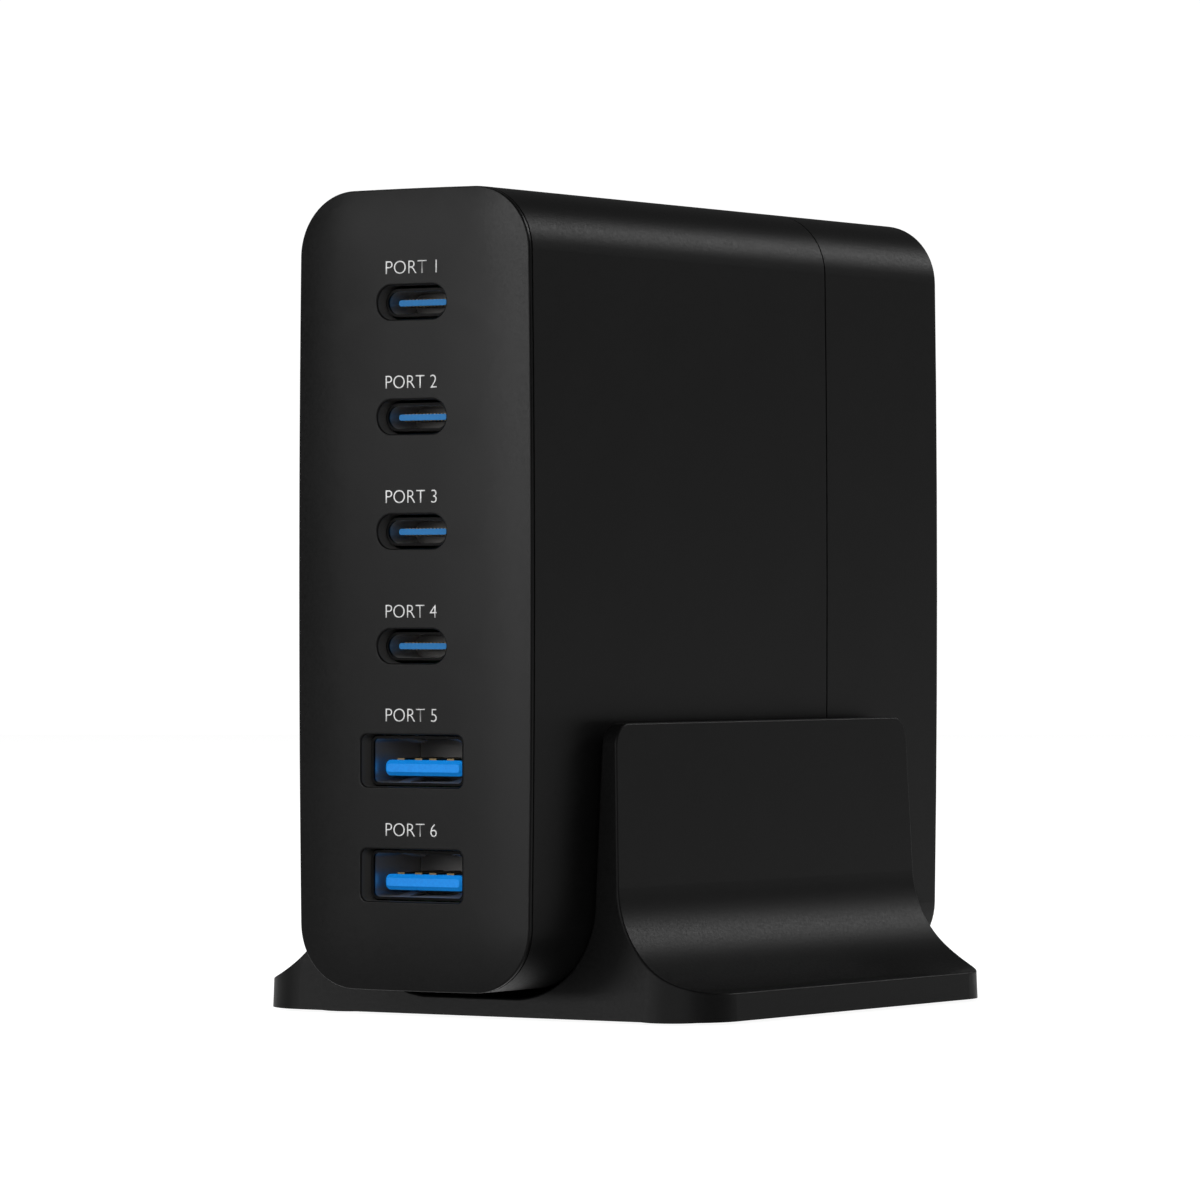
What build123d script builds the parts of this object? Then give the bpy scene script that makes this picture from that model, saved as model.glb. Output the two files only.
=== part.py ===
from build123d import *
import os
from math import atan2, cos, degrees, radians, sin, sqrt, tan

# A slim upright desktop charger that rests in a cradle stand.
# Millimetres, +Z up, ports facing -Y. The origin is under the middle of the part, on the desk.

# Charger housing
charger_width = 32.9
charger_height = 93.5
charger_depth = 94.1        # from the crown of the front panel to the back
corner_radius = 7.6         # of the section, between its long and short sides
side_crown = 0.45           # bow of each long side of the section
end_crown = 0.15            # bow of the top and bottom of the section
front_crown = 0.55          # how far the front panel's face rolls back to its edges
roll_power = 5.0            # how late the roll sets in between the middle of the face and its edges
roll_step = 2.5             # spacing of the points that the face passes through
face_tolerance = 0.01       # of the face to those points
wall = 2.0
rear_cover_depth = 27.5     # from the seam to the back
seam_gap = 0.28             # open joint line between housing pieces
fit_clearance = 0.1         # between a lip and the wall that it slides into
back_edge_radius = 0.5

# Front panel
panel_lip = 0.45            # edge of the panel that shows beside the main shell
panel_thickness = 2.4
panel_edge_radius = 0.2
opening_edge_radius = 0.2
plug_length = 3.0           # rim of the panel inside the main shell
plug_wall = 1.2

# Ports, from the top down
usb_c_count = 4
usb_a_count = 2
port_margin = 13.375        # from the housing's ends to the first and last ports' middles
port_rise = 0.1             # middle of the ports above the middle of the housing
usb_c_opening_width = 9.7
usb_c_opening_height = 4.0
usb_a_opening_width = 14.35
usb_a_opening_height = 6.1
usb_a_opening_radius = 0.9
shell_recess = 1.35         # from the panel's crown to the receptacle shells
tongue_recess = 2.4         # from the panel's crown to the tongues
receptacle_depth = 12.95    # shell front to port board

# USB-C receptacle
usb_c_width = 8.94
usb_c_height = 3.26
usb_c_metal = 0.3
usb_c_tongue_width = 6.69
usb_c_tongue_height = 0.7
usb_c_tongue_length = 4.45
usb_c_contact_pitch = 0.5
usb_c_contacts_per_side = 12
usb_c_contact_width = 0.25
usb_c_contact_height = 0.08
contact_setback = 0.6       # from a tongue's tip to its contacts

# USB-A receptacle
usb_a_width = 13.1
usb_a_height = 5.72
usb_a_metal = 0.3
usb_a_radius = 0.9
usb_a_tongue_width = 11.1
usb_a_tongue_height = 1.84
usb_a_tongue_length = 8.6
usb_a_tongue_drop = 0.87    # tongue's middle below the receptacle's middle
usb_a_tongue_radius = 0.75
usb_a_tongue_chamfer = 0.45
usb_a_contact_places = (-3.5, -1.0, 1.0, 3.5)
usb_a_contact_width = 1.0
usb_a_contact_height = 0.2
spring_width = 1.7
spring_length = 4.6
spring_rise = 0.55          # how far a spring leaf reaches into the receptacle
spring_spread = 7.2         # between the two springs of one wall
spring_setback = 2.2        # from the shell's front to a spring's window
spring_window_clearance = 0.3
insulator_clearance = 0.05

# Cradle stand
stand_width = 64.6
stand_depth = 69.4
stand_height = 34.6         # from the base's underside to the top of the wings
stand_edge = 3.3            # height of the base's outer edge
stand_corner_radius = 7.5   # base corners, seen from above
wing_thickness = 1.9        # at the top
wing_draft = 1.2            # outer face, from the top down to the base
wing_corner_radius = 2.8    # top corners, seen from the side
flare_rim = 1.2             # straight run between the flare's arc and the base's edge
flare_slope = 8.0           # of that run, in degrees
end_lean = 1.3              # the stand's ends and sides lean in by this at the top
channel_clearance = 0.35    # beside the charger, at the channel's floor
channel_draft = 0.85        # inner face of a wing, from the top down to the floor
channel_floor = 2.2
channel_radius_extra = 3.52 # channel corner beyond the charger's corner
seat_clearance = 0.1        # between the charger's corners and the channel's
stand_edge_radius = 0.25
smooth_angle = 20.0         # faces that meet at less than this are one surface
core_wall = 2.2             # wall left above the hollows under the base
core_rim = 2.9              # wall left round the hollows
pad_radius = 4.0
pad_recess = 0.6
pad_stand_off = 0.4         # height of the pads below the base
pad_boss_wall = 1.5
pad_inset_x = 9.5           # pad centres, from the base's edges
pad_inset_y = 8.5

# Mains inlet
inlet_height = 26.0         # above the base's underside
inlet_pin_pitch = 8.6
inlet_pin_radius = 1.2
inlet_pin_length = 10.0
inlet_lobe_radius = 4.1
inlet_waist = 5.6
inlet_recess = 12.0
inlet_floor = 2.0
inlet_rim = 1.6             # plastic round the recess
inlet_flange = 1.5          # step behind the rear wall
wire_radius = 1.0
wire_bend = 1.5
wire_reach = 3.0            # straight run out of the socket
wire_drop = 5.0             # one wire passes this far below the other

# Boards and heat spreading
board_thickness = 1.6
board_side_gap = 5.4        # from the main board to the housing's side
board_end_margin = 4.6      # from the board's edges to the outside of the housing
board_rear_gap = 1.5        # to the inlet socket
rail_thickness = 1.2
rail_grip = 1.5             # how deep the board sits in its rails
rail_clearance = 0.1
port_board_margin = 2.9
spreader_thickness = 1.0
spreader_clearance = 0.1
spreader_end_gap = 1.2      # to the port board and to the rear cover's lip
spreader_margin = 9.0       # from the spreaders' edges to the top and bottom of the housing
pad_length = 34.0
pad_height = 60.0

# Parts on the main board
part_gap = 1.2
stack_margin = 2.0
transformer_height = 28.0
transformer_width = 14.0
transformer_leg = 9.0
choke_height = 22.0
choke_width = 12.0
choke_leg = 7.0
core_plate = 4.0            # ferrite above and below a winding
core_side = 4.0
winding_clearance = 0.3
rectifier_length = 15.0
rectifier_width = 4.5
rectifier_height = 12.0
filter_length = 17.5
filter_width = 8.0
filter_height = 14.0
bulk_radius = 7.0
bulk_length = 19.0
bulk_bead = 0.5
line_core_outer = 7.0
line_core_inner = 4.0
line_core_height = 6.0
line_wire = 0.9
line_span = 120.0
line_stand_off = 1.2
fuse_radius = 2.0
fuse_length = 9.0
fuse_cap = 2.2
fuse_cap_step = 0.15
varistor_radius = 4.5
varistor_thickness = 4.0
inductor_count = 5
inductor_size = 8.0
inductor_height = 6.5
capacitor_radius = 3.15
capacitor_height = 9.0
soft_edge = 0.5

# Places that follow from the sizes above
front_apex = -charger_depth / 2
front_edge = front_apex + front_crown
panel_back = front_edge + panel_lip
back = charger_depth / 2
seam = back - rear_cover_depth
shell_front = panel_back + seam_gap
shell_back = seam - seam_gap / 2
cover_front = seam + seam_gap / 2
base_bottom = pad_stand_off
port_board_front = front_apex + shell_recess + receptacle_depth
port_board_back = port_board_front + board_thickness
lip_inset = wall + fit_clearance


def body_outline(inset=0.0):
    """The charger's section: bowed sides between round corners, drawn about its middle."""
    half_width = charger_width / 2 - inset
    half_height = charger_height / 2 - inset
    corner_x = half_width - side_crown
    corner_z = half_height - end_crown
    sides = [
        ThreePointArc((-corner_x, -corner_z), (0, -half_height), (corner_x, -corner_z)),
        ThreePointArc((corner_x, -corner_z), (half_width, 0), (corner_x, corner_z)),
        ThreePointArc((corner_x, corner_z), (0, half_height), (-corner_x, corner_z)),
        ThreePointArc((-corner_x, corner_z), (-half_width, 0), (-corner_x, -corner_z)),
    ]
    face = make_face(sides)
    return fillet(face.vertices(), corner_radius - inset)


# The charger's lower corners settle on the round corners of the channel.
channel_half = charger_width / 2 + channel_clearance
channel_radius = corner_radius + channel_radius_extra
channel_lean = channel_draft / (stand_height - channel_floor)
channel_centre_x = channel_half + channel_radius * (channel_lean - sqrt(1 + channel_lean**2))
channel_centre_z = base_bottom + channel_floor + channel_radius
lower_corner = body_outline().edges().sort_by(Axis.Y)[:3].sort_by(Axis.X)[-1].arc_center
corner_gap = channel_radius - corner_radius - seat_clearance
corner_drop = sqrt(corner_gap**2 - (lower_corner.X - channel_centre_x) ** 2)
body_middle = channel_centre_z - corner_drop - lower_corner.Y

ports = usb_c_count + usb_a_count
port_middle = body_middle + port_rise
port_pitch = (charger_height - 2 * port_margin) / (ports - 1)
port_heights = [port_middle + (ports - 1 - 2 * i) * port_pitch / 2 for i in range(ports)]
usb_c_heights = port_heights[:usb_c_count]
usb_a_heights = port_heights[usb_c_count:]

inlet_middle = base_bottom + inlet_height
inlet_back = back - wall
inlet_front = back - inlet_recess - inlet_floor

board_left = -charger_width / 2 + board_side_gap
board_face = board_left + board_thickness
board_half = charger_height / 2 - board_end_margin
board_bottom = body_middle - board_half
board_top = body_middle + board_half
board_rear = inlet_front - board_rear_gap
spreader_outer = charger_width / 2 - wall - side_crown - spreader_clearance
spreader_inner = spreader_outer - spreader_thickness
spreader_front = port_board_back + spreader_end_gap
spreader_back = shell_back - plug_length - spreader_end_gap
parts_top = charger_width / 2 - board_side_gap


def along_y(sketch, y_front, y_back):
    """Extrude a sketch drawn in X and Z from y_front to y_back."""
    return extrude(Plane.XZ.offset(-y_back) * sketch, y_back - y_front)


def along_x(sketch, x_left, x_right):
    """Extrude a sketch drawn in Y and Z from x_left to x_right."""
    return extrude(Plane.YZ.offset(x_left) * sketch, x_right - x_left)


def housing(inset, y_front, y_back):
    """A length of the charger's section, drawn in from the outside by an inset."""
    return along_y(Pos(0, body_middle) * body_outline(inset), y_front, y_back)


def box_between(low, high):
    size = [b - a for a, b in zip(low, high)]
    middle = [(a + b) / 2 for a, b in zip(low, high)]
    return Pos(*middle) * Box(*size)


def group(solids):
    return Compound(children=list(solids))


# Housing of the charger
def port_openings():
    openings = Sketch()
    for z in usb_c_heights:
        openings += Pos(0, z) * SlotOverall(usb_c_opening_width, usb_c_opening_height)
    for z in usb_a_heights:
        opening = RectangleRounded(usb_a_opening_width, usb_a_opening_height, usb_a_opening_radius)
        openings += Pos(0, z) * opening
    return openings


def roll_back(x, z):
    """How far the panel's face lies behind its crown, at x and z from its middle."""
    from_side = abs(x) - charger_width / 2 + corner_radius
    from_end = abs(z) - charger_height / 2 + corner_radius
    past_corner = sqrt(max(from_side, 0) ** 2 + max(from_end, 0) ** 2)
    inset = corner_radius - past_corner - min(max(from_side, from_end), 0)
    return front_crown * max(1 - inset / (charger_width / 2), 0) ** roll_power


def pillow():
    """A block a little wider than the panel, with a face that rolls back smoothly to the panel's edges."""
    columns = 2 * round(charger_width / 2 / roll_step) + 3
    rows = 2 * round(charger_height / 2 / roll_step) + 3
    points = []
    for i in range(columns):
        x = (i - columns // 2) * roll_step
        heights = [(k - rows // 2) * roll_step for k in range(rows)]
        points.append([(x, front_apex + roll_back(x, z), body_middle + z) for z in heights])
    face = Face.make_surface_from_array_of_points(points, tol=face_tolerance, min_deg=3, max_deg=3)
    return extrude(face, 4 * panel_thickness, dir=(0, 1, 0))


def opening_rims(panel):
    """The edges where the port openings meet the panel's face."""
    rims = []
    sizes = [(usb_c_opening_width, usb_c_opening_height)] * usb_c_count
    sizes += [(usb_a_opening_width, usb_a_opening_height)] * usb_a_count
    for edge in panel.edges().filter_by_position(Axis.Y, front_apex - seam_gap, front_edge):
        for z, (width, height) in zip(port_heights, sizes):
            middle = edge.center()
            if abs(middle.X) < width / 2 + seam_gap and abs(middle.Z - z) < height / 2 + seam_gap:
                rims.append(edge)
    return rims


def front_panel():
    plate = housing(0, front_apex - panel_lip, panel_back) & pillow()
    edge_band = (front_edge - front_crown / 4, front_edge + panel_lip / 4)
    plate = fillet(plate.edges().filter_by_position(Axis.Y, *edge_band), panel_edge_radius)
    plug = housing(lip_inset, panel_back, panel_back + plug_length)
    pocket = housing(lip_inset + plug_wall, front_apex + panel_thickness, panel_back + plug_length)
    panel = plate + plug - pocket
    panel -= along_y(port_openings(), front_apex - front_crown, panel_back + plug_length)
    return fillet(opening_rims(panel), opening_edge_radius)


def board_rails():
    """Two grooved ribs inside the top and bottom walls that hold the main board by its edges."""
    rails = Part()
    for top in (1, -1):
        inner = body_middle + top * (board_half - rail_grip)
        edge = body_middle + top * (board_half + rail_clearance)
        outer = body_middle + top * (charger_height / 2)
        rib_low = (board_left - rail_thickness, port_board_back, min(inner, outer))
        rib_high = (board_face + rail_thickness, shell_back - plug_length, max(inner, outer))
        slot_low = (board_left - rail_clearance, port_board_back, min(inner, edge))
        slot_high = (board_face + rail_clearance, shell_back - plug_length, max(inner, edge))
        rails += box_between(rib_low, rib_high) - box_between(slot_low, slot_high)
    return rails & housing(wall / 2, shell_front, shell_back)


def main_shell():
    tube = housing(0, shell_front, shell_back) - housing(wall, shell_front, shell_back)
    return tube + board_rails()


def inlet_outline():
    """The figure-of-eight recess of a two-pole mains inlet."""
    lobes = Pos(inlet_pin_pitch / 2, 0) * Circle(inlet_lobe_radius)
    lobes += Pos(-inlet_pin_pitch / 2, 0) * Circle(inlet_lobe_radius)
    return Pos(0, inlet_middle) * (lobes + Rectangle(inlet_pin_pitch, inlet_waist))


def inlet_rim_outline(extra):
    width = inlet_pin_pitch + 2 * (inlet_lobe_radius + inlet_rim + extra)
    return Pos(0, inlet_middle) * SlotOverall(width, 2 * (inlet_lobe_radius + inlet_rim + extra))


def rear_cover():
    cup = housing(0, cover_front, back)
    cup = fillet(cup.faces().sort_by(Axis.Y)[-1].edges(), back_edge_radius)
    cup -= housing(wall, cover_front, back - wall)
    lip = housing(lip_inset, shell_back - plug_length, cover_front)
    lip += housing(wall / 2, cover_front, cover_front + plug_length)
    lip -= housing(lip_inset + plug_wall, shell_back - plug_length, cover_front + plug_length)
    return cup + lip - along_y(inlet_rim_outline(fit_clearance), back - 2 * wall, back + wall)


def inlet_socket():
    body = along_y(inlet_rim_outline(0), inlet_front, back)
    body += along_y(inlet_rim_outline(inlet_flange), inlet_front, inlet_back - fit_clearance)
    body -= along_y(inlet_outline(), back - inlet_recess, back)
    for x in (-inlet_pin_pitch / 2, inlet_pin_pitch / 2):
        body -= along_y(Pos(x, inlet_middle) * Circle(inlet_pin_radius), inlet_front, back)
    return body


def inlet_pins():
    tip = back - inlet_recess + inlet_pin_length
    pins = []
    for x in (-inlet_pin_pitch / 2, inlet_pin_pitch / 2):
        pin = along_y(Pos(x, inlet_middle) * Circle(inlet_pin_radius), inlet_front, tip)
        pins.append(fillet(pin.edges().sort_by(Axis.Y)[-1], inlet_pin_radius / 2))
    return group(pins)


def wire_along(points):
    path = FilletPolyline(*points, radius=wire_bend)
    return sweep(Plane(origin=path @ 0, z_dir=path % 0) * Circle(wire_radius), path=path)


def inlet_wires():
    right = inlet_pin_pitch / 2
    bend_y = inlet_front - wire_reach
    low = inlet_middle - wire_drop
    lower = wire_along([
        (right, inlet_front, inlet_middle), (right, bend_y, inlet_middle),
        (right, bend_y, low), (board_face, bend_y, low),
    ])
    upper = wire_along([
        (-right, inlet_front, inlet_middle), (-right, bend_y, inlet_middle),
        (board_face, bend_y, inlet_middle),
    ])
    return group([lower, upper])


# Receptacles
def usb_c_shell(z):
    inner = SlotOverall(usb_c_width - 2 * usb_c_metal, usb_c_height - 2 * usb_c_metal)
    ring = SlotOverall(usb_c_width, usb_c_height) - inner
    return along_y(Pos(0, z) * ring, front_apex + shell_recess, port_board_front)


def usb_c_insulator(z):
    tip = front_apex + tongue_recess
    root = tip + usb_c_tongue_length
    inset = 2 * (usb_c_metal + insulator_clearance)
    block_outline = SlotOverall(usb_c_width - inset, usb_c_height - inset)
    block = along_y(Pos(0, z) * block_outline, root, port_board_front)
    section = RectangleRounded(usb_c_tongue_width, usb_c_tongue_height, usb_c_tongue_height * 0.4)
    return block + along_y(Pos(0, z) * section, tip, root)


def usb_c_contacts(z):
    tip = front_apex + tongue_recess
    strip = Rectangle(usb_c_contact_width, usb_c_contact_height)
    rise = (usb_c_tongue_height + usb_c_contact_height) / 2
    start = tip + contact_setback
    end = tip + usb_c_tongue_length
    strips = []
    for i in range(usb_c_contacts_per_side):
        x = (i - (usb_c_contacts_per_side - 1) / 2) * usb_c_contact_pitch
        for side in (rise, -rise):
            strips.append(along_y(Pos(x, z + side) * strip, start, end))
    return group(strips)


def usb_a_springs(z):
    """Windows in the top and bottom walls, and the bent leaves that stand in them."""
    start = front_apex + shell_recess + spring_setback
    end = start + spring_length
    window_half = spring_width / 2 + spring_window_clearance
    windows = Part()
    leaves = Part()
    for x in (-spring_spread / 2, spring_spread / 2):
        for side in (1, -1):
            outer = z + side * usb_a_height / 2
            inner = outer - side * usb_a_metal
            windows += box_between(
                (x - window_half, start, min(outer, inner) - usb_a_metal),
                (x + window_half, end, max(outer, inner) + usb_a_metal),
            )
            bend = start + 0.7 * spring_length
            dip = side * spring_rise
            root = start - usb_a_metal
            tip = end - usb_a_metal
            leaf = Polyline(
                (root, outer), (start, outer), (bend, outer - dip), (tip, outer),
                (tip, inner), (bend, inner - dip), (start, inner), (root, inner),
                close=True,
            )
            leaves += along_x(make_face(leaf), x - spring_width / 2, x + spring_width / 2)
    return windows, leaves


def usb_a_shell(z):
    inner_width = usb_a_width - 2 * usb_a_metal
    inner = RectangleRounded(inner_width, usb_a_height - 2 * usb_a_metal, usb_a_radius - usb_a_metal)
    ring = RectangleRounded(usb_a_width, usb_a_height, usb_a_radius) - inner
    tube = along_y(Pos(0, z) * ring, front_apex + shell_recess, port_board_front)
    windows, leaves = usb_a_springs(z)
    return tube - windows + leaves


def usb_a_insulator(z):
    tip = front_apex + tongue_recess
    root = tip + usb_a_tongue_length
    inset = 2 * (usb_a_metal + insulator_clearance)
    block_outline = RectangleRounded(usb_a_width - inset, usb_a_height - inset, usb_a_radius - usb_a_metal)
    block = along_y(Pos(0, z) * block_outline, root, port_board_front)
    section = RectangleRounded(usb_a_tongue_width, usb_a_tongue_height, usb_a_tongue_radius)
    tongue = along_y(Pos(0, z - usb_a_tongue_drop) * section, tip, root)
    lower_edge = tongue.faces().sort_by(Axis.Y)[0].edges().sort_by(Axis.Z)[0]
    return block + chamfer(lower_edge, usb_a_tongue_chamfer)


def usb_a_contacts(z):
    tip = front_apex + tongue_recess
    rise = (usb_a_tongue_height + usb_a_contact_height) / 2 - usb_a_tongue_drop
    strip = Rectangle(usb_a_contact_width, usb_a_contact_height)
    start = tip + contact_setback
    end = tip + usb_a_tongue_length
    return group(along_y(Pos(x, z + rise) * strip, start, end) for x in usb_a_contact_places)


# Cradle stand
def flare_foot():
    """Where a wing's outer face would meet the run in from the base's edge."""
    at_edge = channel_half + channel_draft + wing_thickness + wing_draft
    rise = tan(radians(flare_slope))
    lean = wing_draft / (stand_height - stand_edge)
    x = (at_edge - lean * rise * stand_width / 2) / (1 - lean * rise)
    return x, base_bottom + stand_edge + (stand_width / 2 - x) * rise


def flare_arc():
    """The flare's centre and radius, from where its arc meets the run in from the base's edge."""
    slope = radians(flare_slope)
    lean = atan2(wing_draft, stand_height - stand_edge)
    x = stand_width / 2 - flare_rim
    z = base_bottom + stand_edge + flare_rim * tan(slope)
    radius = (x - flare_foot()[0]) / cos(slope) / tan((radians(90) - slope - lean) / 2)
    return (x + radius * sin(slope), z + radius * cos(slope)), radius


def stand_section():
    """The stand's section: a channel between two wings, and a flare from each wing to the base's edge."""
    top = base_bottom + stand_height
    edge_top = base_bottom + stand_edge
    floor = base_bottom + channel_floor
    half = stand_width / 2
    wing_inner = channel_half + channel_draft
    outline = Polyline(
        (0, base_bottom), (half, base_bottom), (half, edge_top), flare_foot(),
        (wing_inner + wing_thickness, top), (wing_inner, top), (channel_half, floor), (0, floor),
        close=True,
    )
    face = make_face(outline)
    face = fillet(face.vertices().sort_by_distance(flare_foot())[0], flare_arc()[1])
    face = fillet(face.vertices().sort_by_distance((channel_half, floor))[0], channel_radius)
    return face + mirror(face, Plane.YZ)


def stand_hollows():
    """Cores under each flare, leaving an even wall and a boss over each pad."""
    flare_centre, flare_radius = flare_arc()
    blank = Rectangle(stand_width / 2, stand_height / 2)
    under = Pos(stand_width / 4, base_bottom + stand_height / 4) * blank
    under -= Pos(*flare_centre) * Circle(flare_radius + core_wall)
    under -= Pos(channel_centre_x, channel_centre_z) * Circle(channel_radius + core_wall)
    limit_left = channel_centre_x + core_wall
    limit_right = stand_width / 2 - core_rim
    limits = Rectangle(limit_right - limit_left, stand_height)
    limits = Pos((limit_left + limit_right) / 2, base_bottom) * limits
    half_depth = stand_depth / 2 - core_rim
    hollow = along_y(under & limits, -half_depth, half_depth)
    hollow -= boss_columns()
    return hollow + mirror(hollow, Plane.YZ)


def pad_places():
    x = stand_width / 2 - pad_inset_x
    y = stand_depth / 2 - pad_inset_y
    return [(x, -y), (x, y), (-x, y), (-x, -y)]


def boss_columns():
    columns = Part()
    for x, y in pad_places():
        columns += Pos(x, y, stand_height / 2) * Cylinder(pad_radius + pad_boss_wall, stand_height)
    return columns


def stand_cradle():
    half_depth = stand_depth / 2
    body = along_y(stand_section(), -half_depth, half_depth)
    plan = RectangleRounded(stand_width, stand_depth, stand_corner_radius)
    lean_angle = degrees(atan2(end_lean, stand_height))
    body &= extrude(Pos(0, 0, base_bottom) * plan, stand_height, taper=lean_angle)
    wing_ends = body.faces().filter_by(Axis.Z).sort_by(Axis.Z)[-2:].edges().filter_by(Axis.X)
    body = fillet(wing_ends, wing_corner_radius)
    body = fillet(sharp_edges(body, base_bottom + stand_edge / 2), stand_edge_radius)
    body -= stand_hollows()
    for x, y in pad_places():
        body -= Pos(x, y, base_bottom + pad_recess / 2) * Cylinder(pad_radius + fit_clearance, pad_recess)
    return body


def sharp_edges(body, lowest):
    """The edges above a height at which two faces meet at a clear angle."""
    sharp = []
    for edge in body.edges():
        middle = edge @ 0.5
        normals = [face.normal_at(middle) for face in body.faces() if edge in face.edges()]
        if middle.Z > lowest and normals[0].get_angle(normals[1]) > smooth_angle:
            sharp.append(edge)
    return sharp


def foot_pad(place):
    x, y = place
    height = pad_recess + pad_stand_off
    pad = Pos(x, y, height / 2) * Cylinder(pad_radius, height)
    return fillet(pad.edges().sort_by(Axis.Z)[0], pad_stand_off / 2)


# Boards and heat spreading
def port_board():
    outline = body_outline(port_board_margin)
    return along_y(Pos(0, body_middle) * outline, port_board_front, port_board_back)


def main_board():
    return box_between((board_left, port_board_back, board_bottom), (board_face, board_rear, board_top))


def heat_spreader(side):
    edges = sorted((side * spreader_inner, side * spreader_outer))
    half = charger_height / 2 - spreader_margin
    low = (edges[0], spreader_front, body_middle - half)
    high = (edges[1], spreader_back, body_middle + half)
    return box_between(low, high)


def thermal_pad(side):
    """A soft pad that carries heat from the board, or from the tallest parts on it, to a spreader."""
    inner = parts_top if side > 0 else -board_left
    edges = sorted((side * inner, side * spreader_inner))
    middle = (spreader_front + spreader_back) / 2
    low = (edges[0], middle - pad_length / 2, body_middle - pad_height / 2)
    high = (edges[1], middle + pad_length / 2, body_middle + pad_height / 2)
    return box_between(low, high)


# Parts on the main board, in columns from the front
def winding_radius(core_height):
    return core_height / 2 - core_side - winding_clearance


def column_middles():
    """Columns of parts along the main board, with the free length shared evenly round them."""
    rear_column = max(bulk_radius, line_core_outer + line_wire)
    halves = [inductor_size / 2, capacitor_radius, winding_radius(transformer_height), rear_column]
    room = inlet_front - wire_reach - wire_radius - port_board_back
    gap = (room - 2 * sum(halves)) / (len(halves) + 1)
    middles = []
    front = port_board_back
    for half in halves:
        middles.append(front + gap + half)
        front += gap + 2 * half
    return middles


inductor_y, capacitor_y, transformer_y, bulk_y = column_middles()


def spread_heights(count, size):
    """Heights for a column of equal parts, spread evenly between the board's rails."""
    reach = board_half - rail_grip - part_gap - size / 2
    return [body_middle + reach * (1 - 2 * i / (count - 1)) for i in range(count)]


def transformer_z():
    return board_top - stack_margin - transformer_height / 2


def rectifier_z():
    return transformer_z() - transformer_height / 2 - part_gap - rectifier_width / 2


def choke_z():
    return rectifier_z() - rectifier_width / 2 - part_gap - choke_height / 2


def filter_z():
    return choke_z() - choke_height / 2 - part_gap - filter_width / 2


def wound_core(z, height, width, leg):
    """A ferrite core: two plates joined by a round middle leg and two side legs."""
    block = along_x(Pos(transformer_y, z) * Rectangle(width, height), board_face, parts_top)
    window = Circle(height / 2 - core_side) - Circle(leg / 2)
    window = Pos(transformer_y, z) * window
    return block - along_x(window, board_face + core_plate, parts_top - core_plate)


def winding(z, height, leg):
    coil = Circle(winding_radius(height)) - Circle(leg / 2 + winding_clearance)
    low = board_face + core_plate + winding_clearance
    high = parts_top - core_plate - winding_clearance
    return along_x(Pos(transformer_y, z) * coil, low, high)


def bridge_rectifier():
    outline = RectangleRounded(rectifier_length, rectifier_width, soft_edge)
    outline = Pos(transformer_y, rectifier_z()) * outline
    return along_x(outline, board_face, board_face + rectifier_height)


def filter_capacitor():
    outline = RectangleRounded(filter_length, filter_width, soft_edge)
    outline = Pos(transformer_y, filter_z()) * outline
    body = along_x(outline, board_face, board_face + filter_height)
    return fillet(body.faces().sort_by(Axis.X)[-1].edges(), soft_edge / 2)


def bulk_capacitor(index):
    """A can with a rolled groove near its lower end, lying on the board."""
    bottom = board_top - stack_margin - (index + 1) * bulk_length - index * part_gap
    groove = 4 * bulk_bead
    outline = Polyline(
        (0, 0), (bulk_radius, 0), (bulk_radius, groove), (bulk_radius - bulk_bead, 1.5 * groove),
        (bulk_radius, 2 * groove), (bulk_radius, bulk_length), (0, bulk_length),
        close=True,
    )
    can = revolve(Plane.XZ * make_face(outline), Axis.Z)
    return Pos(board_face + bulk_radius, bulk_y, bottom) * can


def line_choke_place():
    z = board_bottom + stack_margin + line_core_outer + line_wire
    return Plane(origin=(board_face, bulk_y, z), x_dir=(0, 1, 0), z_dir=(1, 0, 0))


def line_choke_core():
    ring = Circle(line_core_outer) - Circle(line_core_inner)
    return line_choke_place() * Pos(0, 0, line_stand_off) * extrude(ring, line_core_height)


def line_choke_winding():
    """Two coils on opposite sides of the ring core, each wrapped closely round it."""
    gap = winding_clearance / 2
    outer = Circle(line_core_outer + line_wire) - Circle(line_core_inner - line_wire)
    inner = Circle(line_core_outer + gap) - Circle(line_core_inner - gap)
    sleeve = Pos(0, 0, line_stand_off - line_wire) * extrude(outer, line_core_height + 2 * line_wire)
    sleeve -= Pos(0, 0, line_stand_off - gap) * extrude(inner, line_core_height + 2 * gap)
    reach = 2 * line_core_outer
    wedge = make_face(Polyline((0, 0), (reach, 0), (reach, reach), (0, reach), close=True))
    spread = (180 - line_span) / 2
    coils = []
    for turn in (0, 180):
        coil = sleeve & Rot(0, 0, turn) * Pos(0, reach, 0) * Box(4 * reach, 2 * reach, 4 * reach)
        coil -= Rot(0, 0, turn + spread - 90) * extrude(wedge, 4 * reach)
        coil -= Rot(0, 0, turn + 180 - spread) * extrude(wedge, 4 * reach)
        coils.append(line_choke_place() * coil)
    return group(coils)


def fuse_z():
    return line_choke_place().origin.Z + line_core_outer + line_wire + part_gap + fuse_radius


def fuse():
    y = bulk_y
    rim = fuse_radius + fuse_cap_step
    axis = Plane(origin=(board_face + rim, y, fuse_z()), z_dir=(0, 1, 0))
    body = axis * Cylinder(fuse_radius, fuse_length)
    for side in (1, -1):
        body += axis * Pos(0, 0, side * (fuse_length - fuse_cap) / 2) * Cylinder(rim, fuse_cap)
    return body


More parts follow.
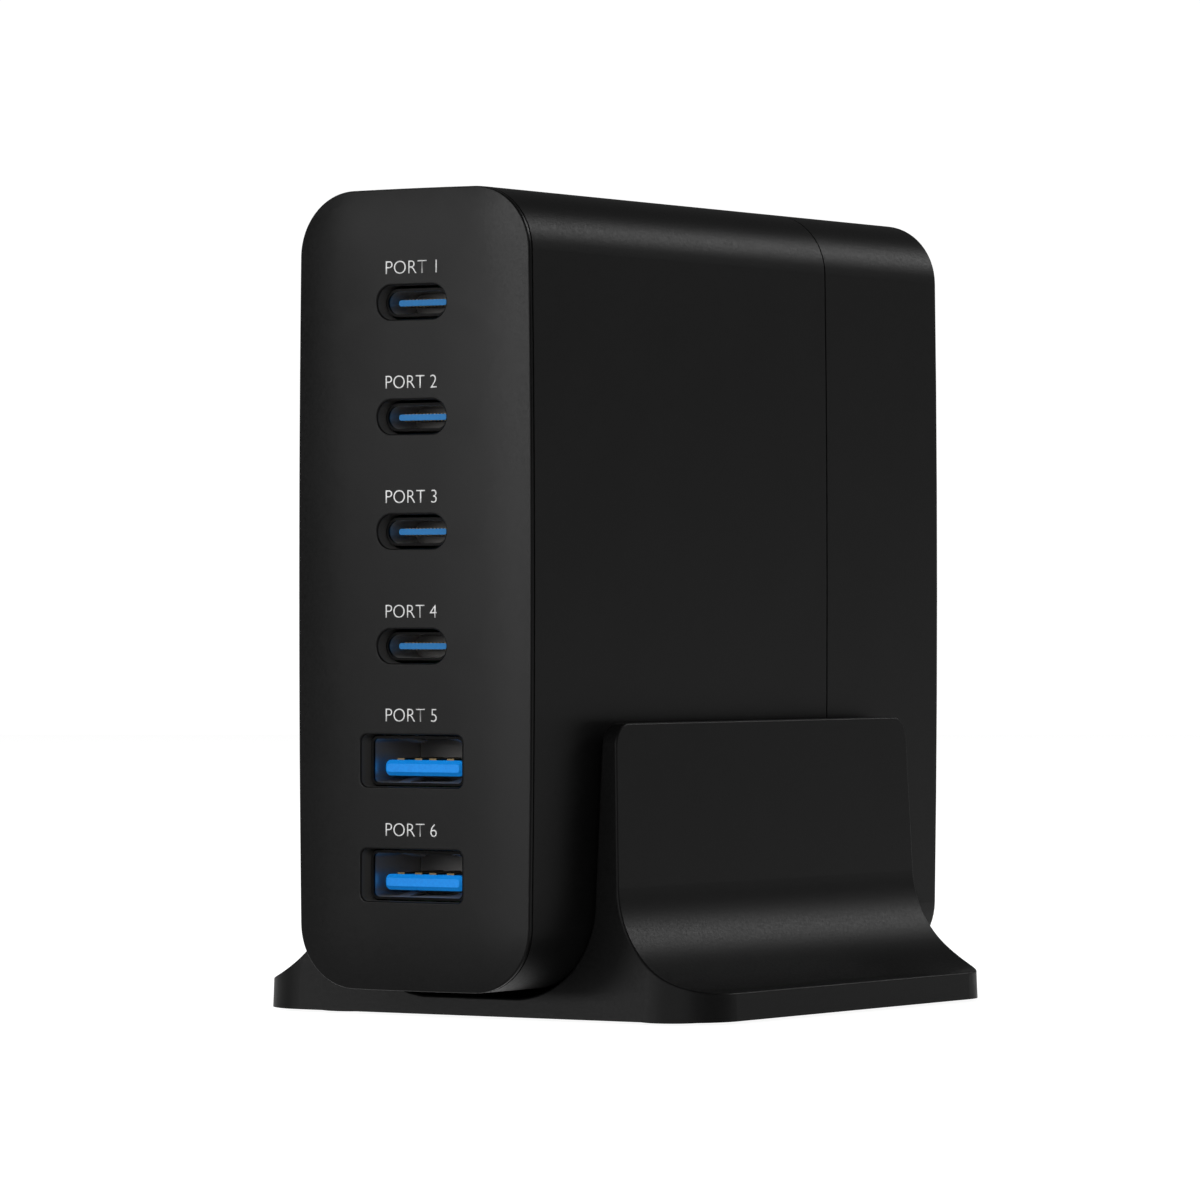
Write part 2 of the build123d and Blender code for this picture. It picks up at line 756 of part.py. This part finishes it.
def varistor():
    z = fuse_z() + fuse_radius + fuse_cap_step + part_gap + varistor_radius
    axis = Plane(origin=(board_face + varistor_radius, bulk_y, z), z_dir=(0, 1, 0))
    disc = axis * Cylinder(varistor_radius, varistor_thickness)
    return fillet(disc.edges().filter_by(GeomType.CIRCLE), soft_edge)


def output_inductor(z):
    block = along_x(
        Pos(inductor_y, z) * RectangleRounded(inductor_size, inductor_size, soft_edge),
        board_face, board_face + inductor_height,
    )
    return chamfer(block.faces().sort_by(Axis.X)[-1].edges(), soft_edge / 2)


def output_capacitors():
    cans = []
    for z in spread_heights(ports, 2 * capacitor_radius):
        outline = Pos(capacitor_y, z) * Circle(capacitor_radius)
        can = along_x(outline, board_face, board_face + capacitor_height)
        cans.append(fillet(can.edges().sort_by(Axis.X)[-1], soft_edge))
    return group(cans)


def all_pieces():
    transformer = (transformer_z(), transformer_height)
    choke = (choke_z(), choke_height)
    pieces = {
        "stand_cradle": stand_cradle(),
        "front_panel": front_panel(),
        "main_shell": main_shell(),
        "rear_cover": rear_cover(),
        "inlet_socket": inlet_socket(),
        "inlet_pins": inlet_pins(),
        "inlet_wires": inlet_wires(),
        "port_board": port_board(),
        "main_board": main_board(),
        "heat_spreader_left": heat_spreader(-1),
        "heat_spreader_right": heat_spreader(1),
        "thermal_pad_left": thermal_pad(-1),
        "thermal_pad_right": thermal_pad(1),
        "transformer_core": wound_core(*transformer, transformer_width, transformer_leg),
        "transformer_winding": winding(*transformer, transformer_leg),
        "boost_choke_core": wound_core(*choke, choke_width, choke_leg),
        "boost_choke_winding": winding(*choke, choke_leg),
        "bridge_rectifier": bridge_rectifier(),
        "filter_capacitor": filter_capacitor(),
        "bulk_capacitor_1": bulk_capacitor(0),
        "bulk_capacitor_2": bulk_capacitor(1),
        "line_choke_core": line_choke_core(),
        "line_choke_winding": line_choke_winding(),
        "fuse": fuse(),
        "varistor": varistor(),
        "output_capacitors": output_capacitors(),
    }
    for i, place in enumerate(pad_places(), 1):
        pieces[f"foot_pad_{i}"] = foot_pad(place)
    for i, z in enumerate(usb_c_heights, 1):
        pieces[f"usb_c_shell_{i}"] = usb_c_shell(z)
        pieces[f"usb_c_insulator_{i}"] = usb_c_insulator(z)
        pieces[f"usb_c_contacts_{i}"] = usb_c_contacts(z)
    for i, z in enumerate(usb_a_heights, 1):
        pieces[f"usb_a_shell_{i}"] = usb_a_shell(z)
        pieces[f"usb_a_insulator_{i}"] = usb_a_insulator(z)
        pieces[f"usb_a_contacts_{i}"] = usb_a_contacts(z)
    for i, z in enumerate(spread_heights(inductor_count, inductor_size), 1):
        pieces[f"output_inductor_{i}"] = output_inductor(z)
    return pieces


os.makedirs("parts", exist_ok=True)
for name, shape in all_pieces().items():
    shape.label = name
    export_step(shape, f"parts/{name}.step")
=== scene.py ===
import math

import bpy
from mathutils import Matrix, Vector
from mathutils.bvhtree import BVHTree


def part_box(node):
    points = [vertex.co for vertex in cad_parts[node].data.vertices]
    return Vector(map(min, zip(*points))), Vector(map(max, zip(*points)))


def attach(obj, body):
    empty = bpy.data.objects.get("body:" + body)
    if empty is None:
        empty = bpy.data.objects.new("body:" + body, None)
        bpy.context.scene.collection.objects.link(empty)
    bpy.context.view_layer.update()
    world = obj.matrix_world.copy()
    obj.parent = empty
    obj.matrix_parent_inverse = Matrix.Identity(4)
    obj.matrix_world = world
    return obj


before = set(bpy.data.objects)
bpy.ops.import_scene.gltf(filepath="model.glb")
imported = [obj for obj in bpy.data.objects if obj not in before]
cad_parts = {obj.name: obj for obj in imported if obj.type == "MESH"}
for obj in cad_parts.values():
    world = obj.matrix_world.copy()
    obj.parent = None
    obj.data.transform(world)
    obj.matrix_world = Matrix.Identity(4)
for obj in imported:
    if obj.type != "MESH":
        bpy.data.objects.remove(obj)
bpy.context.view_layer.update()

# A slim desktop charger in its cradle stand: finishes, port numbers, camera and studio.
# Metres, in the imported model's frame: +Z up, ports facing -Y.
MM = 0.001


# Camera, fitted to the photograph's edges
CAMERA_AZIMUTH = math.radians(32.9047)
CAMERA_DISTANCE = 807.01 * MM
CAMERA_SIDE = -3.5985 * MM
CAMERA_HEIGHT = 46.455 * MM
CAMERA_RIGHT = Vector((math.cos(CAMERA_AZIMUTH), math.sin(CAMERA_AZIMUTH), 0))
CAMERA_BACK = Vector((math.sin(CAMERA_AZIMUTH), -math.cos(CAMERA_AZIMUTH), 0))
IMAGE_SIZE = 1200
FOCAL_PIXELS = 6600.2
HORIZON_DROP = 25.054        # pixels from the middle of the image down to the horizon
SENSOR = 36.0
CLIP_NEAR = 0.05
CLIP_FAR = 50.0


def make_camera():
    data = bpy.data.cameras.new("camera")
    data.sensor_width = SENSOR
    data.lens = FOCAL_PIXELS / IMAGE_SIZE * SENSOR
    data.shift_y = HORIZON_DROP / IMAGE_SIZE
    data.clip_start = CLIP_NEAR
    data.clip_end = CLIP_FAR
    camera = link("camera", data)
    height = Vector((0, 0, CAMERA_HEIGHT))
    camera.location = CAMERA_RIGHT * CAMERA_SIDE + CAMERA_BACK * CAMERA_DISTANCE + height
    camera.rotation_euler = (math.radians(90), 0, CAMERA_AZIMUTH)
    bpy.context.scene.camera = camera


def link(name, data):
    """A new object in the scene."""
    piece = bpy.data.objects.new(name, data)
    bpy.context.scene.collection.objects.link(piece)
    return piece


# Materials
GRAIN_DETAIL = 3.0
GRAIN_ROUGHNESS = 0.6
BROAD_SCALE = 60.0           # of the slow variation over a whole surface
BROAD_DETAIL = 4.0
BROAD_ROUGHNESS = 0.55
COLOUR_GAIN = 0.85           # of the two noises' sum, before the colour ramp
COLOUR_START = 0.7           # where the ramp leaves the dark colour
ROUGH_RANGE = (0.3, 0.7)     # of the fine noise, for the roughness
TURN_SOFTNESS = 0.1 * MM     # half the width over which a colour turns to another
MIX_SHARE, MIX_FIRST, MIX_SECOND, MIX_RESULT = 0, 6, 7, 2       # sockets of a colour Mix node


class Nodes:
    """A node tree with short calls to add and join its nodes."""

    def __init__(self, tree):
        self.tree = tree
        tree.nodes.clear()

    def add(self, kind, **settings):
        node = self.tree.nodes.new(kind)
        for name, value in settings.items():
            if name in node.bl_rna.properties:
                setattr(node, name, value)
            else:
                node.inputs[name.replace("_", " ")].default_value = value
        return node

    def join(self, source, output, target, socket):
        self.tree.links.new(source.outputs[output], target.inputs[socket])


def new_material(name):
    material = bpy.data.materials.new(name)
    material.use_nodes = True
    return material, Nodes(material.node_tree)


def near(n, axes, axis, middle, reach):
    """One where an axis is within reach of a middle value, and zero elsewhere."""
    compare = n.add("ShaderNodeMath", operation="COMPARE")
    compare.inputs[1].default_value = middle
    compare.inputs[2].default_value = reach
    n.join(axes, axis, compare, 0)
    return compare


def turn_colour(n, place, colour, shader, start, beyond, within=None):
    """The colour turns to another one beyond a distance along Y.

    within limits that to a reach each side of x = 0, and to a reach about a middle height.
    """
    axes = n.add("ShaderNodeSeparateXYZ")
    n.join(place, "Object", axes, "Vector")
    step = n.add("ShaderNodeMapRange", From_Min=start - TURN_SOFTNESS, From_Max=start + TURN_SOFTNESS)
    n.join(axes, "Y", step, "Value")
    share, output = step, "Result"
    if within:
        reach, middle, rise = within
        for limit in (near(n, axes, "X", 0, reach), near(n, axes, "Z", middle, rise)):
            both = n.add("ShaderNodeMath", operation="MULTIPLY")
            n.join(share, output, both, 0)
            n.join(limit, "Value", both, 1)
            share, output = both, "Value"
    mix = n.add("ShaderNodeMix", data_type="RGBA")
    mix.inputs[MIX_SECOND].default_value = (*beyond, 1)
    n.join(share, output, mix, MIX_SHARE)
    n.join(colour, "Color", mix, MIX_FIRST)
    n.join(mix, MIX_RESULT, shader, "Base Color")


def grained(name, colours, rough, grain, depth, metallic=0.0, specular=0.5, stretch=(1, 1, 1), behind=None):
    """A surface with a fine grain: its colour, roughness and height vary with noise.

    colours and rough are the ends of their ranges, and grain and depth are the noise's size and height
    in millimetres. behind is what turn_colour needs: a distance along Y, the colour beyond it, and
    where that is limited, its reach.
    """
    material, n = new_material(name)
    place = n.add("ShaderNodeTexCoord")
    scaled = n.add("ShaderNodeMapping", Scale=stretch)
    n.join(place, "Object", scaled, "Vector")
    fine = n.add("ShaderNodeTexNoise", Scale=1 / (grain * MM), Detail=GRAIN_DETAIL, Roughness=GRAIN_ROUGHNESS)
    n.join(scaled, "Vector", fine, "Vector")
    broad = n.add("ShaderNodeTexNoise", Scale=BROAD_SCALE, Detail=BROAD_DETAIL, Roughness=BROAD_ROUGHNESS)
    n.join(scaled, "Vector", broad, "Vector")
    mixed = n.add("ShaderNodeMath", operation="ADD")
    n.join(fine, "Fac", mixed, 0)
    n.join(broad, "Fac", mixed, 1)
    dark, light = colours
    colour = n.add("ShaderNodeValToRGB")
    first, last = colour.color_ramp.elements
    first.position = COLOUR_START
    first.color = (*dark, 1)
    last.position = 1.0
    last.color = (*light, 1)
    gain = n.add("ShaderNodeMath", operation="MULTIPLY")
    gain.inputs[1].default_value = COLOUR_GAIN
    n.join(mixed, "Value", gain, 0)
    n.join(gain, "Value", colour, "Fac")
    roughness = n.add(
        "ShaderNodeMapRange",
        From_Min=ROUGH_RANGE[0], From_Max=ROUGH_RANGE[1], To_Min=rough[0], To_Max=rough[1],
    )
    n.join(fine, "Fac", roughness, "Value")
    bump = n.add("ShaderNodeBump", Strength=1.0, Distance=depth * MM)
    n.join(fine, "Fac", bump, "Height")
    shader = n.add("ShaderNodeBsdfPrincipled", Metallic=metallic, Specular_IOR_Level=specular)
    n.join(colour, "Color", shader, "Base Color")
    if behind:
        turn_colour(n, place, colour, shader, *behind)
    n.join(roughness, "Result", shader, "Roughness")
    n.join(bump, "Normal", shader, "Normal")
    output = n.add("ShaderNodeOutputMaterial")
    n.join(shader, "BSDF", output, "Surface")
    return material


def grey(low, high):
    return (low, low, low), (high, high, high)


# Where a finish turns: the port shells from a rim painted near-black as shade to bright metal, the blue
# tongues to a darker grey painted as shade deeper in the ports, and the panel to a lighter grey painted as
# light on the walls inside its port openings
LOWEST, HIGHEST = 0, 1
# the port shells' front rim, up to this depth, is painted near-black: painted shade inside the panel's
# openings
SHELL_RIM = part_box("usb_c_shell_1")[LOWEST].y + 0.35 * MM
USB_C_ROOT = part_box("usb_c_contacts_1")[HIGHEST].y - 0.3 * MM
USB_A_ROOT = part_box("usb_a_contacts_1")[HIGHEST].y - 0.3 * MM
PORTS_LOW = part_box("usb_a_shell_2")[LOWEST].z - 1 * MM
PORTS_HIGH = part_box("usb_c_shell_1")[HIGHEST].z + 1 * MM
PORT_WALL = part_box("front_panel")[LOWEST].y + 0.25 * MM
PORT_REACH = 7.6 * MM
PORT_WALLS = (PORT_REACH, (PORTS_LOW + PORTS_HIGH) / 2, (PORTS_HIGH - PORTS_LOW) / 2)
# a lighter grey painted on the panel's walls inside its port openings: painted light
WALL_PAINTED_LIGHT = (0.06, 0.059, 0.058)
# a darker grey painted on the insulators deeper in the ports, behind the blue tongues: painted shade
BLOCK_SHADE_GREY = (0.06, 0.058, 0.056)
BRIGHT_METAL = (0.62, 0.60, 0.58)
ALONG_PORT = (1, 0.15, 1)    # stretch of a drawn metal's grain along Y

# Finishes by material slot
looks = {
    "stand_black": dict(
        colours=grey(0.004, 0.0055), rough=(0.37, 0.47), grain=0.35, depth=0.006, specular=0.072,
    ),
    "housing_black": dict(
        colours=grey(0.004, 0.0055), rough=(0.37, 0.47), grain=0.35, depth=0.006, specular=0.072,
    ),
    # inside its port openings the panel turns to a lighter grey: painted light on the opening walls
    "panel_black": dict(
        colours=grey(0.0018, 0.0027), rough=(0.30, 0.38), grain=0.3, depth=0.004, specular=0.064,
        behind=(PORT_WALL, WALL_PAINTED_LIGHT, PORT_WALLS),
    ),
    "inlet_black": dict(
        colours=grey(0.008, 0.012), rough=(0.45, 0.6), grain=0.3, depth=0.01, specular=0.3,
    ),
    "foot_rubber": dict(
        colours=grey(0.012, 0.02), rough=(0.75, 0.9), grain=0.2, depth=0.02, specular=0.2,
    ),
    # the shell's near-black rim is painted shade; behind it the shell has its own bright metal
    "port_metal": dict(
        colours=grey(0.002, 0.003), rough=(0.32, 0.44), grain=0.12, depth=0.002,
        metallic=1.0, stretch=ALONG_PORT, behind=(SHELL_RIM, BRIGHT_METAL),
    ),
    # the blue tongues turn to a darker grey deeper in the port: painted shade
    "usb_c_plastic": dict(
        colours=((0.0045, 0.085, 0.222), (0.007, 0.098, 0.258)), rough=(0.4, 0.5), grain=0.25, depth=0.004,
        specular=0.1, behind=(USB_C_ROOT, BLOCK_SHADE_GREY),
    ),
    "usb_a_plastic": dict(
        colours=((0.0016, 0.14, 0.45), (0.0032, 0.168, 0.51)), rough=(0.4, 0.5), grain=0.25, depth=0.004,
        specular=0.1, behind=(USB_A_ROOT, BLOCK_SHADE_GREY),
    ),
    # gold darkened far below its own colour: painted shade on the contacts deep in the ports
    "contact_gold": dict(
        colours=((0.05, 0.038, 0.02), (0.07, 0.052, 0.027)), rough=(0.35, 0.5), grain=0.15, depth=0.002,
        metallic=1.0,
    ),
    "pin_metal": dict(
        colours=((0.52, 0.51, 0.49), (0.62, 0.61, 0.59)), rough=(0.22, 0.34), grain=0.15, depth=0.003,
        metallic=1.0, stretch=ALONG_PORT,
    ),
    "wire_brown": dict(
        colours=((0.10, 0.045, 0.025), (0.13, 0.06, 0.032)), rough=(0.4, 0.5), grain=0.4, depth=0.01,
    ),
    "board_green": dict(
        colours=((0.012, 0.075, 0.03), (0.02, 0.10, 0.042)), rough=(0.35, 0.5), grain=0.5, depth=0.01,
    ),
    "spreader_metal": dict(
        colours=grey(0.52, 0.62), rough=(0.3, 0.45), grain=0.2, depth=0.004,
        metallic=1.0, stretch=(1, 1, 0.1),
    ),
    "gap_pad_grey": dict(
        colours=grey(0.25, 0.32), rough=(0.75, 0.9), grain=0.5, depth=0.03,
    ),
    "ferrite": dict(
        colours=grey(0.03, 0.045), rough=(0.5, 0.7), grain=0.3, depth=0.02,
    ),
    "winding_copper": dict(
        colours=((0.55, 0.22, 0.08), (0.68, 0.30, 0.12)), rough=(0.25, 0.4), grain=0.3, depth=0.02,
        metallic=1.0, stretch=(3, 1, 1),
    ),
    "capacitor_sleeve": dict(
        colours=((0.012, 0.02, 0.06), (0.02, 0.03, 0.08)), rough=(0.3, 0.4), grain=0.5, depth=0.01,
    ),
    "capacitor_metal": dict(
        colours=grey(0.55, 0.65), rough=(0.25, 0.4), grain=0.2, depth=0.004, metallic=1.0,
    ),
    "chip_black": dict(
        colours=grey(0.012, 0.018), rough=(0.55, 0.7), grain=0.2, depth=0.01,
    ),
    "filter_yellow": dict(
        colours=((0.62, 0.40, 0.03), (0.70, 0.47, 0.05)), rough=(0.35, 0.5), grain=0.5, depth=0.01,
    ),
    "fuse_white": dict(
        colours=grey(0.62, 0.72), rough=(0.3, 0.45), grain=0.3, depth=0.006,
    ),
    "varistor_blue": dict(
        colours=((0.02, 0.07, 0.30), (0.03, 0.09, 0.36)), rough=(0.35, 0.5), grain=0.4, depth=0.02,
    ),
}
print_look = dict(colours=grey(0.42, 0.52), rough=(0.5, 0.65), grain=0.1, depth=0.002)

# Material slots by the first words of the nodes' names
slot_of_node = {
    "stand_cradle": "stand_black",
    "foot_pad": "foot_rubber",
    "front_panel": "panel_black",
    "main_shell": "housing_black",
    "rear_cover": "housing_black",
    "inlet_socket": "inlet_black",
    "inlet_pins": "pin_metal",
    "inlet_wires": "wire_brown",
    "usb_c_shell": "port_metal",
    "usb_a_shell": "port_metal",
    "usb_c_insulator": "usb_c_plastic",
    "usb_a_insulator": "usb_a_plastic",
    "usb_c_contacts": "contact_gold",
    "usb_a_contacts": "contact_gold",
    "port_board": "board_green",
    "main_board": "board_green",
    "heat_spreader": "spreader_metal",
    "thermal_pad": "gap_pad_grey",
    "transformer_core": "ferrite",
    "boost_choke_core": "ferrite",
    "line_choke_core": "ferrite",
    "transformer_winding": "winding_copper",
    "boost_choke_winding": "winding_copper",
    "line_choke_winding": "winding_copper",
    "bridge_rectifier": "chip_black",
    "filter_capacitor": "filter_yellow",
    "bulk_capacitor": "capacitor_sleeve",
    "fuse": "fuse_white",
    "varistor": "varistor_blue",
    "output_inductor": "chip_black",
    "output_capacitors": "capacitor_metal",
}


def finish_nodes():
    finishes = {slot: grained(slot, **look) for slot, look in looks.items()}
    for name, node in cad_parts.items():
        kind = next(k for k in sorted(slot_of_node, key=len, reverse=True) if name.startswith(k))
        node.data.materials.clear()
        node.data.materials.append(finishes[slot_of_node[kind]])


# Port numbers, printed on the front panel
PRINT_HEIGHT = 1.52 * MM
PRINT_WIDTH = 7.2 * MM
PRINT_PROUD = 0.008 * MM
PRINT_DEPTH = 0.02 * MM
PRINT_THIN = 0.014           # how much thinner the strokes are than the font's own, in letter heights
PRINT_CURVE_STEPS = 6
LABEL_RISE = {"usb_c_shell": 4.07 * MM, "usb_a_shell": 5.33 * MM}       # above a port's middle
port_shells = {"usb_c_shell": (1, 2, 3, 4), "usb_a_shell": (1, 2)}


def flat_word(name, word):
    """A word in Blender's own font as a flat mesh."""
    curve = bpy.data.curves.new(name, "FONT")
    curve.body = word
    curve.resolution_u = PRINT_CURVE_STEPS
    curve.offset = -PRINT_THIN
    source = link(name + "_source", curve)
    bpy.context.view_layer.update()
    final = source.evaluated_get(bpy.context.evaluated_depsgraph_get())
    mesh = bpy.data.meshes.new_from_object(final)
    bpy.data.objects.remove(source)
    bpy.data.curves.remove(curve)
    mesh.name = name
    return mesh


def printed_word(name, word, middle, panel, material):
    """A thin print of a word that lies on the panel's face, fitted to the print's height and width."""
    mesh = flat_word(name, word)
    xs = [v.co.x for v in mesh.vertices]
    ys = [v.co.y for v in mesh.vertices]
    left, width = min(xs), max(xs) - min(xs)
    low, height = min(ys), max(ys) - min(ys)
    for v in mesh.vertices:
        x = ((v.co.x - left) / width - 0.5) * PRINT_WIDTH
        z = middle + ((v.co.y - low) / height - 0.5) * PRINT_HEIGHT
        face = panel.ray_cast(Vector((x, -1, z)), Vector((0, 1, 0)))[0]
        v.co = (x, face.y - PRINT_PROUD, z)
    mesh.materials.clear()
    mesh.materials.append(material)
    piece = link(name, mesh)
    thick = piece.modifiers.new("print", "SOLIDIFY")
    thick.thickness = PRINT_DEPTH
    thick.offset = -1
    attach(piece, "root")


def number_ports():
    ink = grained("print_ink", **print_look)
    panel = BVHTree.FromObject(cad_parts["front_panel"], bpy.context.evaluated_depsgraph_get())
    ports = [(kind, i) for kind, places in port_shells.items() for i in places]
    for number, (kind, i) in enumerate(ports, 1):
        low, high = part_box(f"{kind}_{i}")
        middle = (low.z + high.z) / 2 + LABEL_RISE[kind]
        printed_word(f"port_number_{number}", f"PORT {number}", middle, panel, ink)


# Studio. A shine of 1 is white to the camera, and the paleness is the surface's own.
FLOOR_REACH = 4.0
FLOOR_SHINE = 0.94
FLOOR_PALENESS = 0.3
BACKDROP_DISTANCE = 2.0
BACKDROP_REACH = 0.29
BACKDROP_HEIGHT = 0.34
BACKDROP_SHINE = 1.0
BACKDROP_PALENESS = 0.1
WORLD_STRENGTH = 0.1
AIM = Vector((0, 0, 0.05))   # where every lamp points

# Lamps: place, size and power
lamps = {
    "key": ((-0.45, -1.23, 0.31), (0.55, 0.5), 15.0),
    "low_strip": ((-0.7, -1.09, 0.08), (0.5, 0.12), 4.2),
    "front_soft": ((-0.02, -1.3, 0.275), (1.3, 0.54), 6.0),
    "front_right": ((0.75, -1.05, 0.4), (0.5, 0.5), 5.0),
    "rear_right": ((0.73, 1.67, 0.89), (0.66, 0.46), 7.0),
    "left_fill": ((-0.8, 0.3, 1.0), (0.6, 0.6), 6.0),
    "left_front_fill": ((-0.55, -0.95, 1.0), (0.5, 0.5), 3.0),
}

# The key leaves out the large shells, which would glare from behind, and the low strip lights the stand
lit_nodes = {
    "key": ("EXCLUDE", ("stand_cradle", "main_shell", "rear_cover")),
    "low_strip": ("INCLUDE", ("stand_cradle",)),
}


def studio_white(name, shine, paleness):
    """White to the camera and in reflections, and a plain pale surface for the light on the object."""
    material, n = new_material(name)
    path = n.add("ShaderNodeLightPath")
    seen = n.add("ShaderNodeMath", operation="MAXIMUM")
    n.join(path, "Is Camera Ray", seen, 0)
    n.join(path, "Is Glossy Ray", seen, 1)
    any_seen = n.add("ShaderNodeMath", operation="MAXIMUM")
    n.join(seen, "Value", any_seen, 0)
    n.join(path, "Is Transmission Ray", any_seen, 1)
    white = n.add("ShaderNodeEmission", Color=(1, 1, 1, 1), Strength=shine)
    paper = n.add("ShaderNodeBsdfDiffuse", Color=(paleness, paleness, paleness, 1))
    both = n.add("ShaderNodeAddShader")
    n.join(white, 0, both, 0)
    n.join(paper, 0, both, 1)
    mix = n.add("ShaderNodeMixShader")
    n.join(any_seen, 0, mix, 0)
    n.join(paper, 0, mix, 1)
    n.join(both, 0, mix, 2)
    output = n.add("ShaderNodeOutputMaterial")
    n.join(mix, 0, output, 0)
    return material


def sheet_of(name, corners, material):
    """One four-sided face of the stage."""
    mesh = bpy.data.meshes.new(name)
    mesh.from_pydata(corners, [], [(0, 1, 2, 3)])
    mesh.materials.append(material)
    return link(name, mesh)


def make_stage():
    r = FLOOR_REACH
    corners = [(-r, -r, 0), (r, -r, 0), (r, r, 0), (-r, r, 0)]
    floor = sheet_of("floor", corners, studio_white("floor_white", FLOOR_SHINE, FLOOR_PALENESS))
    side = CAMERA_RIGHT * BACKDROP_REACH
    away = -CAMERA_BACK * BACKDROP_DISTANCE
    up = Vector((0, 0, BACKDROP_HEIGHT))
    corners = [away - side, away + side, away + side + up, away - side + up]
    white = studio_white("backdrop_white", BACKDROP_SHINE, BACKDROP_PALENESS)
    sheet_of("backdrop", corners, white)
    world = bpy.data.worlds.new("studio")
    world.use_nodes = True
    background = world.node_tree.nodes["Background"]
    background.inputs["Color"].default_value = (1, 1, 1, 1)
    background.inputs["Strength"].default_value = WORLD_STRENGTH
    bpy.context.scene.world = world
    bpy.context.scene.view_settings.view_transform = "Standard"


def choose_lit(lamp, choice, names):
    """The lamp lights only these nodes, or leaves them out."""
    group = bpy.data.collections.new(lamp.name + "_nodes")
    for name in names:
        group.objects.link(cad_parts[name])
    for member in group.collection_objects:
        member.light_linking.link_state = choice
    lamp.light_linking.receiver_collection = group


def make_lights():
    for name, (place, size, power) in lamps.items():
        data = bpy.data.lights.new(name, "AREA")
        data.shape = "RECTANGLE"
        data.size, data.size_y = size
        data.energy = power
        lamp = link(name, data)
        lamp.location = place
        lamp.rotation_euler = (AIM - Vector(place)).to_track_quat("-Z", "Y").to_euler()
        if name in lit_nodes:
            choose_lit(lamp, *lit_nodes[name])


make_camera()
finish_nodes()
number_ports()
make_stage()
make_lights()
